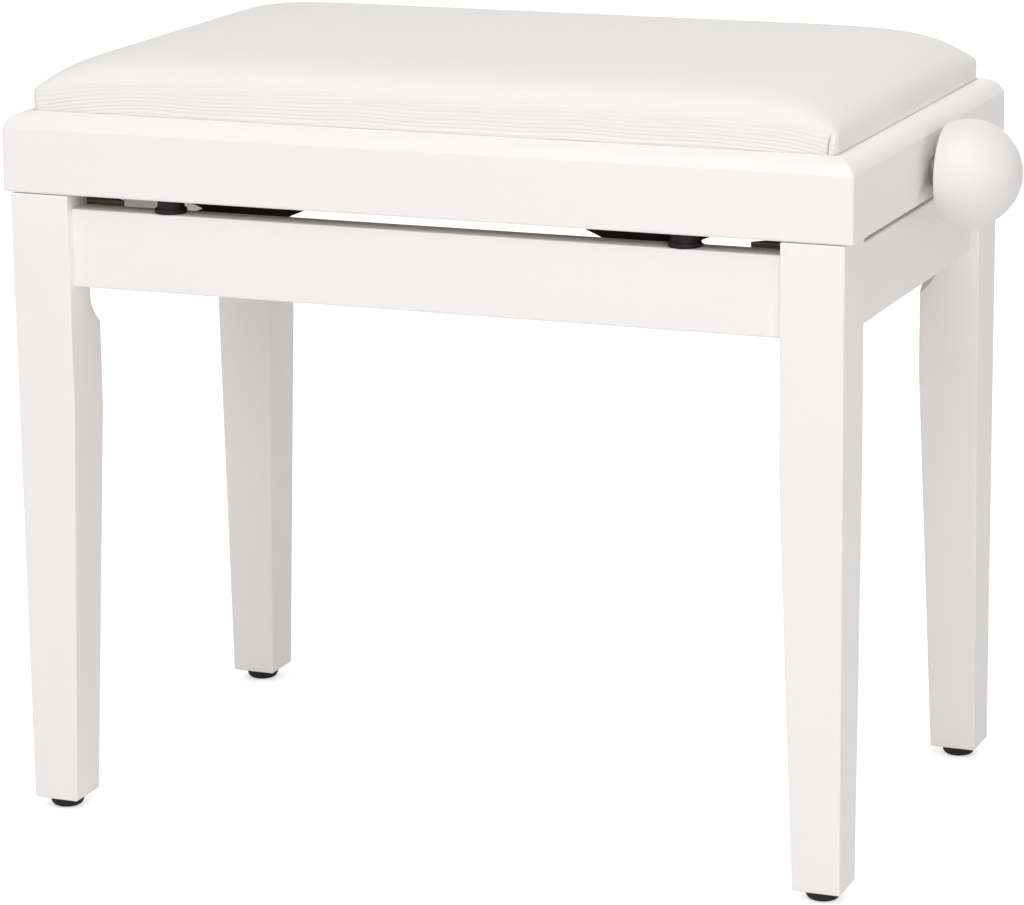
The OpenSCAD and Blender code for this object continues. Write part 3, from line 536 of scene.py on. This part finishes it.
def smooth(low, high, value):
    """0 below low, 1 above high, and an even S between them."""
    share = np.clip((value - low) / (high - low), 0, 1)
    return share * share * (3 - 2 * share)


def frame_member(name, low, high, along, outer_is_low):
    """A frame member: its section carried between two mitres, and round the eased corner at each end.

    The section's top outer edge is an arc of round_turn that ends on the face, round_h below the top. It
    has round_share of its full radius, which leaves room for the fine crease below it.

    A point of the section at distance d inside the outer face ends d short of the corner. Within the
    corner's radius of the outer face it turns about the corner's centre instead, by half of the right angle.
    That radius grows from corner_r on the face to corner_top_r on the arc, where the sander went round.
    """
    across = 1 - along
    depth, height = high[across] - low[across], high[2] - low[2]
    round_r = round_share * round_h / (1 - math.cos(round_turn))
    shoulder_in = round_h / math.tan(round_turn)
    outline = np.array([[0, 0], [depth, 0], [depth, height], [shoulder_in, height], [0, height - round_h]])
    section = rounded(outline, [arris_r, arris_r, inner_arris_r, round_r, crease_r], steps=8, shoulder=0.4)
    inward = section[:, 0]
    turn = np.radians(np.linspace(0, 45, 6))
    straight = np.linspace(-1, 1, 9)[1:-1]
    share = np.concatenate([-np.ones(6), straight, np.ones(6)])
    angle = np.concatenate([turn[::-1], 0 * straight, turn])
    half = (high[along] - low[along]) / 2
    on_arc = smooth(height - 1.5 * round_h, height - 0.5 * round_h, section[:, 1])
    eased = corner_r + (corner_top_r - corner_r) * on_arc
    spare = np.maximum(eased - inward, 0)
    turned_by = np.sign(share)[:, None] * spare * np.sin(angle)[:, None]
    reach = share[:, None] * (half - np.maximum(inward, eased)) + turned_by
    sunk = inward + spare * (1 - np.cos(angle))[:, None]
    rings = np.zeros(reach.shape + (3,))
    rings[..., along] = (high[along] + low[along]) / 2 + reach
    rings[..., across] = low[across] + sunk if outer_is_low else high[across] - sunk
    rings[..., 2] = low[2] + section[:, 1]
    return skin(name, rings)


def drill(piece, centre, axis, diameter, length):
    """Cuts a round hole into a piece and applies the cut: a cylinder about the centre, taken away."""
    profile = [[-length / 2, diameter / 2], [length / 2, diameter / 2]]
    tool = turned("drill", profile, centre, axis)
    cut = piece.modifiers.new("hole", "BOOLEAN")
    cut.object = tool
    cut.solver = "EXACT"
    shape = bpy.data.meshes.new_from_object(piece.evaluated_get(bpy.context.evaluated_depsgraph_get()))
    piece.modifiers.clear()
    piece.data = shape
    bpy.data.objects.remove(tool)


bush_hole_d = 14.1
for node, along, outer_is_low in (("frame_front", 0, True), ("frame_back", 0, False),
                                  ("frame_left", 1, True), ("frame_right", 1, False)):
    low, high = corners(node)
    piece = frame_member(node + "_painted", low, high, along, outer_is_low)
    if node == "frame_right":
        drill(piece, [(low[0] + high[0]) / 2, 0, spindle_z], 0, bush_hole_d, 3 * (high[0] - low[0]))
    coat_piece(piece, paint)
    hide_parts(node)
    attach(piece, "seat")


# Knob
# A ball turned in beech with a flat back and a threaded brass insert that screws onto the spindle. Its paint
# is a greyer copy of the frame's white: painted shade that darkens the knob.
knob_flat_r = 29.6
knob_edge_r = 1.2
insert_hole_d = 14.1


def knob_profile(radius, flat_r, edge_r, bore_r, bore_l):
    """From the bottom of the bore out over the flat back, round its edge, and over the ball to the pole.

    The edge is an arc that touches the flat and the ball, so its centre lies edge_r off both.
    """
    sunk = math.sqrt(radius ** 2 - flat_r ** 2)
    start = math.asin((sunk - edge_r) / (radius - edge_r))
    edge = np.linspace(-np.pi / 2, -start, 7)
    centre = [edge_r, math.cos(start) * (radius - edge_r)]
    turn_edge = np.stack([centre[0] + edge_r * np.sin(edge), centre[1] + edge_r * np.cos(edge)], axis=-1)
    ball = np.linspace(-start, np.pi / 2, 60)[1:]
    turn_ball = np.stack([sunk + radius * np.sin(ball), radius * np.cos(ball)], axis=-1)
    bore = np.array([[bore_l, 0], [bore_l, bore_r], [0, bore_r]])
    return np.concatenate([bore, turn_edge, turn_ball])


low, high = corners("knob")
knob_r = (high[2] - low[2]) / 2
insert_l = corners("knob_insert")[1][0] - corners("knob_insert")[0][0]
profile = knob_profile(knob_r, knob_flat_r, knob_edge_r, insert_hole_d / 2, insert_l)
knob = turned("knob_painted", profile, [low[0], 0, spindle_z], 0, around=128, sharp=60.0)
# A greyer copy of the frame's white paint: painted shade on the knob.
coat_piece(knob, satin_paint("satin_knob_acrylic_with_painted_shade", "#f1efee", "#f4f2f1"))
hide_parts("knob")
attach(knob, "turning_spindle")


def turned_brass():
    """Turned brass, slightly dull: warm yellow with a soft gloss."""
    made, tree = material("turned_brass")
    place = add(tree, "ShaderNodeTexCoord").outputs["Object"]
    cloud = add(tree, "ShaderNodeTexNoise", {"Vector": place, "Scale": 1 / (8 * MM), "Detail": 4.0})
    colour = add(tree, "ShaderNodeMix",
                 {0: cloud.outputs["Fac"], 6: linear("#b08d4a"), 7: linear("#cfae68")}, data_type="RGBA")
    shader = add(tree, "ShaderNodeBsdfPrincipled", {"Base Color": colour.outputs[2], "Metallic": 1.0,
                                                    "Roughness": 0.34})
    add(tree, "ShaderNodeOutputMaterial", {"Surface": shader.outputs["BSDF"]})
    return made


finish_nodes(turned_brass(), ["knob_insert"])


# Cushion
# A foam pad under a tight cover of off-white corduroy. The cloth's ribs run along the seat, over its top and
# down its front and back; at the ends they turn down. The cloth is folded into a pleat at each corner.
pad_side = 13.0
flank_power = 12
end_share = 0.84
side_share = 0.42
corner_round = 3.2
cover_low, cover_high = corners("cushion_cover")
board_high = corners("seat_board")[1]
half_x, half_y = (cover_high - cover_low)[:2] / 2
frame_top = corners("frame_front")[1][2]
edge_z = frame_top + pad_side
crown = cover_high[2] - edge_z


def fullness(across, share):
    """How full the crown is, from 1 in the middle to 0 at the edge."""
    return np.maximum(0, 1 - np.abs(across) ** flank_power) ** share


# Length along the middle section, from the front edge over the top to the back edge
fine = np.sin(np.linspace(-np.pi / 2, np.pi / 2, 40001))
section_y = half_y * fine
section_z = crown * fullness(fine, side_share)
section_l = np.concatenate([[0], np.cumsum(np.hypot(np.diff(section_y), np.diff(section_z)))])
over_top = section_l[-1]

# Rows of points along the ribs, four to a rib: its furrow, two shoulders and its crest. The ribs go on down
# the sides into the frame. Two plain rows follow there, and the lower one ends just above the hem.
rib = 2.35
skirt_ribs = 6
furrow_share = 0.13
hem_rise = 1.5
plain_row_depth = 20.0
ribs = round(over_top / rib)
marks = np.array([0.0, furrow_share, 0.5, 1 - furrow_share])
rows = (np.arange(-skirt_ribs, ribs + skirt_ribs)[:, None] + marks).ravel() * over_top / ribs
rib_height = np.tile([0.0, 0.8, 1.0, 0.8], ribs + 2 * skirt_ribs)
plain = np.array([edge_z - cover_low[2] - hem_rise, plain_row_depth])
rows = np.concatenate([-plain, rows, [rows[-4] + over_top / ribs], over_top + plain[::-1]])
rib_height = np.concatenate([[0, 0], rib_height, [0, 0, 0]])

# Columns of points across them, close together where the pleats are
pleated_l = 9.9
pleat_step = 0.45
beyond = np.linspace(pleated_l + 0.5, half_x, 42)
near_end = np.concatenate([np.arange(0, pleated_l, pleat_step), beyond])
columns = np.concatenate([near_end - half_x, half_x - near_end[-2::-1]])

corner_sag = 8.0
corner_sag_l = 34.0
long_wave_h, long_wave_l = 0.5, 23.0
short_wave_h, short_wave_l = 0.35, 11.3


def cover_sag(x):
    """How far the ribs are drawn down at x: most at the corners, with two slight sine waves between them."""
    off = half_x - np.abs(x)
    waves = long_wave_h * np.sin(x / long_wave_l + 0.7) + short_wave_h * np.sin(x / short_wave_l + 2.0)
    return corner_sag * np.exp(-(off / corner_sag_l) ** 1.5) + waves * smooth(0, 30, off)


def round_corner(points):
    """Bends the pad's square upright corners round: squares about the corner's centre become circles."""
    sign = np.sign(points[..., :2])
    local = np.maximum(np.abs(points[..., :2]) - [half_x - corner_round, half_y - corner_round], 0)
    most = np.maximum(local.max(axis=-1), 1e-9)
    least = local.min(axis=-1)
    angle = np.pi / 4 * least / most
    along_x = local[..., 0] > local[..., 1]
    bent_x = most * np.where(along_x, np.cos(angle), np.sin(angle))
    bent_y = most * np.where(along_x, np.sin(angle), np.cos(angle))
    both = least > 0
    out = points.copy()
    base = np.abs(points[..., :2]) - local
    out[..., 0] = np.where(both, sign[..., 0] * (base[..., 0] + bent_x), points[..., 0])
    out[..., 1] = np.where(both, sign[..., 1] * (base[..., 1] + bent_y), points[..., 1])
    return out


draw_in = 1.2
draw_power = 8
bulge = 0.9
bulge_z = 0.91
bulge_h = 1.3
end_round_l = 10.0
end_round_share = 0.13
end_round_lean = math.radians(21.7)
crown_slope = 1.4


def pad_surface(u, v, depth):
    """The pad at shares u and v of its half sizes: crowned on top, or depth below the edge on a side.

    The sides are drawn in between the corners, more towards the edge and not at all inside the frame. Just
    over the frame they swell again, by a bell curve, and close the gap, except at the left corners. At the
    ends the edge between top and side is cut back by a parabola, which flattens out towards the corners.
    """
    z = edge_z + crown * fullness(u, end_share) * fullness(v, side_share) - depth
    over_frame = z - frame_top
    at_left_corner = (u < 0) * np.abs(u * v) ** 20
    swell = bulge * (1 - at_left_corner) * np.exp(-((over_frame - bulge_z) / bulge_h) ** 2)
    drawn = draw_in * np.clip(over_frame / pad_side, 0, 1) - swell
    x = u * (half_x - drawn * np.abs(u) ** draw_power * (1 - v * v))
    y = v * (half_y - drawn * np.abs(v) ** draw_power * (1 - u * u))
    reach = end_round_l * (1 - v ** 8) + 0.01
    off = np.where(depth > 0, depth, crown_slope * half_x * (1 - np.abs(u)))
    cut = end_round_share * reach * np.clip(1 - off / reach, 0, 1) ** 2
    cut_in = math.cos(end_round_lean) * cut * np.sign(u)
    cut_down = math.sin(end_round_lean) * cut
    return np.stack([x - cut_in, y, z - cut_down], axis=-1)


def normals(points, outwards):
    """Unit normals of a grid of points by central differences, turned to the side of outwards."""
    normal = np.cross(np.gradient(points, axis=0), np.gradient(points, axis=1))
    length = np.linalg.norm(normal, axis=-1, keepdims=True)
    normal = np.where(length > 1e-9, normal / np.maximum(length, 1e-9), outwards)
    return normal * np.where(np.sum(normal * outwards, axis=-1, keepdims=True) < 0, -1, 1)


pleat_w = 5.2
pleat_lean = 0.012
pleat_h = 0.75
pleat_top = (8, 13)
left_pleat_w = 2.6
left_pleat_lean = 0.2
left_pleat_share = 0.45
ridge_h = 0.4
ridge_gap = 2.4
crease_w = 0.5
crease_depth = 0.8
crease_shade = 0.9


def pleats(points):
    """The corner folds: how far they lift the cloth, and the painted shade in their crease.

    A strip beside each upright corner stands proud of the front, and a sine of two soft ridges runs down it.
    Its crease, a bell curve, leans towards the corner as it rises, on the right by a parabola and on the
    left, where the fold is small, by a straight line. The fold dies out between the heights of pleat_top.
    """
    off = half_x - np.abs(points[..., 0])
    height = points[..., 2] - frame_top
    at_right = points[..., 0] > 0
    wide = np.where(at_right, pleat_w - pleat_lean * height ** 2, left_pleat_w - left_pleat_lean * height)
    inside = wide - off
    on_face = smooth(half_y - 9, half_y - 2, np.abs(points[..., 1])) * smooth(-1, 0.5, height)
    strength = on_face * (1 - smooth(*pleat_top, height)) * np.where(at_right, 1, left_pleat_share)
    ridges = ridge_h * np.sin(2 * np.pi * (inside - ridge_gap / 4) / ridge_gap) * smooth(0.4, 1.2, inside)
    crease = np.exp(-(inside / crease_w) ** 2)
    fold = pleat_h * smooth(0, 1.0, inside) + ridges - crease_depth * crease
    return fold * strength, crease_shade * crease * strength


rib_h = 0.24
crown_rib_share = 0.35
furrow_shade = 0.26
crown_fade = 0.92
paler_at_end = 0.85
paler_at_left = 0.8
left_l = 22.0
well_inside = 60.0


def lift_cloth(points, heights):
    """Raises ribs and pleats along the normals; returns the points and the painted shade of each, darkest in
    a furrow or a pleat's crease.

    The ribs fade at the upright corners, and the furrows' painted shade is paler at the ends and near the
    left corners. On the crown the ribs are lower and their furrows' painted shade is fainter.
    """
    outwards = points - [0, 0, edge_z - well_inside]
    height = points[..., 2] - frame_top
    off = half_x - np.abs(points[..., 0])
    to_corner = np.hypot(off, half_y - np.abs(points[..., 1]))
    shown = smooth(0, 2.5, to_corner) * smooth(-2, 1, height)
    on_side = 1 - crown_fade * smooth(pad_side - 9, pad_side + 3, height)
    at_end = 1 - smooth(0.5, 3.0, off)
    at_left = (1 - smooth(0, left_l, off)) * (points[..., 0] < 0)
    paler = (1 - paler_at_end * at_end) * (1 - paler_at_left * at_left)
    lift = rib_h * (heights - 0.5) * shown * (crown_rib_share + (1 - crown_rib_share) * on_side)
    furrow = furrow_shade * (1 - heights) ** 2 * shown * on_side * paler
    fold, crease = pleats(points)
    bent = round_corner(points)
    raised = bent + normals(bent, outwards) * (lift + fold)[..., None]
    return raised, np.maximum(furrow, crease)


rib_depth = 22.0
skirt_depth = 15.0


def cover_mesh():
    """The main cloth, with rows over front, top and back, and a band that turns down at each end.

    A row near the edge sags with the corners, less the further up the crown it lies. A row that meets an end
    below the edge runs into the corner line, so in the band it lies on that line.
    """
    from_edge = np.minimum(rows, over_top - rows)
    share = np.where(from_edge < -skirt_depth, 0, np.exp(-np.maximum(from_edge, 0) / rib_depth))
    reach = from_edge[:, None] - share[:, None] * cover_sag(columns)[None, :]
    front = (rows < over_top / 2)[:, None]
    v_front = np.interp(np.maximum(reach, 0), section_l, fine)
    v = np.where(front, v_front, -v_front)
    depth = np.maximum(-reach, 0)
    u = np.broadcast_to(columns[None, :] / half_x, v.shape)
    body, body_shade = lift_cloth(pad_surface(u, v, depth), rib_height[:, None])
    grids = [(body, body_shade)]
    for column, sign in ((0, -1), (-1, 1)):
        at_end = depth[:, column]
        front_rows = np.flatnonzero((at_end > 0) & front[:, 0])[::-1]
        back_rows = len(rows) - 1 - front_rows
        steps = np.concatenate([[0], at_end[front_rows]])
        band_depth = np.maximum(at_end[:, None], steps[None, :])
        band_v = np.broadcast_to(v[:, column][:, None], band_depth.shape)
        band_u = np.full(band_depth.shape, float(sign))
        band, band_shade = lift_cloth(pad_surface(band_u, band_v, band_depth), rib_height[:, None])
        order = np.maximum(np.arange(len(front_rows))[:, None] + 1, np.arange(len(steps))[None, :])
        for sheet, source in ((band, body), (band_shade, body_shade)):
            sheet[front_rows] = source[front_rows[order - 1], column]
            sheet[back_rows] = source[back_rows[order - 1], column]
            sheet[:, 0] = source[:, column]
        grids.append((band, band_shade))
    return grids


# The three grids become one mesh, and a hem is carried round its rim: turned in under the cloth's edge, then
# up to the board, where a last face closes it
hem_w = 8.0
hem_edge_r = 0.4
hem_turn_w = 1.4
grids = cover_mesh()
shades = np.concatenate([shade.ravel() for _, shade in grids])
points, faces, index_grids = [], [], []
start = 0
for grid, _ in grids:
    index = start + np.arange(grid.shape[0] * grid.shape[1]).reshape(grid.shape[:2])
    quads = np.stack([index[:-1, :-1], index[1:, :-1], index[1:, 1:], index[:-1, 1:]], axis=-1)
    points.append(grid.reshape(-1, 3))
    faces.append(quads.reshape(-1, 4))
    index_grids.append(index)
    start += index.size
points = np.concatenate(points)
body, left_band, right_band = index_grids
rim = np.concatenate([body[0], right_band[1:, -1], body[-1, -2::-1], left_band[-2:0:-1, -1]])
hem = []
for inset, z in ((hem_edge_r, cover_low[2] + hem_edge_r), (hem_turn_w, cover_low[2]),
                 (hem_w, cover_low[2]), (hem_w, board_high[2] - 1)):
    ring = points[rim]
    ring[:, 0] = np.clip(ring[:, 0], inset - half_x, half_x - inset)
    ring[:, 1] = np.clip(ring[:, 1], inset - half_y, half_y - inset)
    ring[:, 2] = z
    hem.append(ring)
rings = np.stack([rim] + [start + len(rim) * at + np.arange(len(rim)) for at in range(len(hem))])
after = np.roll(rings, -1, axis=1)
faces.append(np.stack([rings[:-1], after[:-1], after[1:], rings[1:]], axis=-1).reshape(-1, 4))
points = np.concatenate([points] + hem) + [stool_x, 0, 0]
shades = np.concatenate([shades, np.zeros(len(points) - len(shades))])
faces = np.concatenate(faces).tolist() + [rings[-1].tolist()]
cover = solid("corduroy_cover", points, faces, 70.0, shades)


def corduroy():
    """Fine cotton corduroy, off-white: a soft pile with a sheen, with painted shade in the furrows between
    its ribs and in the pleats' creases.
    """
    made, tree = material("off_white_corduroy")
    place = add(tree, "ShaderNodeTexCoord").outputs["Object"]
    pile = add(tree, "ShaderNodeTexNoise", {"Vector": place, "Scale": 1 / (0.6 * MM), "Detail": 3.0})
    patch = add(tree, "ShaderNodeTexNoise", {"Vector": place, "Scale": 1 / (40 * MM), "Detail": 4.0})
    cloth = add(tree, "ShaderNodeMix", {0: patch.outputs["Fac"], 6: linear("#f3f1ee"), 7: linear("#f6f4f1")},
                data_type="RGBA")
    # The shade attribute darkens the cloth towards this grey: painted shade in the furrows and the pleats'
    # creases.
    depth = add(tree, "ShaderNodeAttribute", attribute_name="shade").outputs["Fac"]
    colour = add(tree, "ShaderNodeMix", {0: depth, 6: cloth.outputs[2], 7: linear("#aeaaa7")},
                 data_type="RGBA")
    bump = add(tree, "ShaderNodeBump",
               {"Height": pile.outputs["Fac"], "Strength": 0.35, "Distance": 0.1 * MM})
    shader = add(tree, "ShaderNodeBsdfPrincipled", {"Base Color": colour.outputs[2], "Roughness": 0.9,
                                                    "Normal": bump.outputs["Normal"], "Sheen Weight": 0.25,
                                                    "Sheen Roughness": 0.5, "Specular IOR Level": 0.2})
    add(tree, "ShaderNodeOutputMaterial", {"Surface": shader.outputs["BSDF"]})
    return made


def seat_foam():
    """Cream open-cell foam with cells about 1 mm across."""
    made, tree = material("cream_foam")
    place = add(tree, "ShaderNodeTexCoord").outputs["Object"]
    cells = add(tree, "ShaderNodeTexVoronoi", {"Vector": place, "Scale": 1 / (1.0 * MM)})
    colour = add(tree, "ShaderNodeMix",
                 {0: cells.outputs["Distance"], 6: linear("#e9ddb0"), 7: linear("#cbb982")},
                 data_type="RGBA")
    shader = add(tree, "ShaderNodeBsdfPrincipled", {"Base Color": colour.outputs[2], "Roughness": 0.95})
    add(tree, "ShaderNodeOutputMaterial", {"Surface": shader.outputs["BSDF"]})
    return made


coat_piece(cover, corduroy())
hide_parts("cushion_cover")
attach(cover, "seat")
finish_nodes(seat_foam(), ["cushion_foam"])


# Floor, light and camera
# A seamless white floor under broad, soft light from the front, as in a product photograph. The sheet that
# the camera sees is lit up to white; the stool is lit from below by a second, dimmer sheet just under it.
floor_half = 40000.0
bounce_drop = 1.0


def studio_white(name, glow):
    """White seamless paper that glows a little, as if it were lit on its own."""
    made, tree = material(name)
    place = add(tree, "ShaderNodeTexCoord").outputs["Object"]
    cloud = add(tree, "ShaderNodeTexNoise", {"Vector": place, "Scale": 1 / (333 * MM)})
    colour = add(tree, "ShaderNodeMix",
                 {0: cloud.outputs["Fac"], 6: linear("#f8f8f8"), 7: linear("#f9f9f9")}, data_type="RGBA")
    shader = add(tree, "ShaderNodeBsdfPrincipled", {"Base Color": colour.outputs[2], "Roughness": 0.9,
                                                    "Emission Color": (1, 1, 1, 1),
                                                    "Emission Strength": glow})
    add(tree, "ShaderNodeOutputMaterial", {"Surface": shader.outputs["BSDF"]})
    return made


for name, z, glow, seen in (("white_floor", 0, 0.52, True), ("bounce_floor", -bounce_drop, 0.02, False)):
    square = np.array([[-1, -1, 0], [1, -1, 0], [1, 1, 0], [-1, 1, 0]]) * floor_half + [0, 0, z]
    sheet = bpy.data.meshes.new(name)
    sheet.from_pydata((square * MM).tolist(), [], [[0, 1, 2, 3]])
    sheet.materials.append(studio_white(name + "_paper", glow))
    floor = bpy.data.objects.new(name, sheet)
    floor.visible_camera = seen
    floor.visible_shadow = False
    floor.visible_diffuse = not seen
    floor.visible_glossy = not seen
    bpy.context.scene.collection.objects.link(floor)

world = bpy.data.worlds.new("studio")
world.use_nodes = True
world.node_tree.nodes["Background"].inputs["Color"].default_value = (1, 1, 1, 1)
world.node_tree.nodes["Background"].inputs["Strength"].default_value = 0.5
bpy.context.scene.world = world
bpy.context.scene.view_settings.view_transform = "Standard"

stool_middle_z = 0.25


def panel(name, azimuth, elevation, distance, size, watts):
    """A square light panel that looks at the stool's middle. Its azimuth is in degrees left of the front."""
    light = bpy.data.lights.new(name, "AREA")
    light.shape = "SQUARE"
    light.size = size
    light.energy = watts
    made = bpy.data.objects.new(name, light)
    bpy.context.scene.collection.objects.link(made)
    a, e = math.radians(azimuth), math.radians(elevation)
    made.location = (-math.sin(a) * math.cos(e) * distance, -math.cos(a) * math.cos(e) * distance,
                     math.sin(e) * distance + stool_middle_z)
    made.rotation_euler = (math.pi / 2 - e, 0, -a)


panel("key_light", azimuth=-4, elevation=58, distance=3.2, size=1.8, watts=36.4)
panel("fill_light", azimuth=-30, elevation=20, distance=3.2, size=1.8, watts=14.4)
panel("back_light", azimuth=180, elevation=17, distance=4.0, size=3.0, watts=26)

camera_at = np.array([937.6, -2389.3, 865.6])
yaw, pitch, roll = np.radians([22.05, -14.08, -0.69])
forward = np.array([-math.sin(yaw) * math.cos(pitch), math.cos(yaw) * math.cos(pitch), math.sin(pitch)])
level = np.array([math.cos(yaw), math.sin(yaw), 0.0])
upright = np.cross(level, forward)
right = math.cos(roll) * level + math.sin(roll) * upright
above = -math.sin(roll) * level + math.cos(roll) * upright
lens = bpy.data.cameras.new("camera")
lens.lens = 145.49
lens.sensor_width = 36.0
lens.sensor_fit = "HORIZONTAL"
lens.clip_end = 100
camera = bpy.data.objects.new("camera", lens)
bpy.context.scene.collection.objects.link(camera)
stand = np.eye(4)
stand[:3] = np.stack([right, above, -forward, camera_at * MM], axis=-1)
camera.matrix_world = Matrix(stand.tolist())
bpy.context.scene.camera = camera
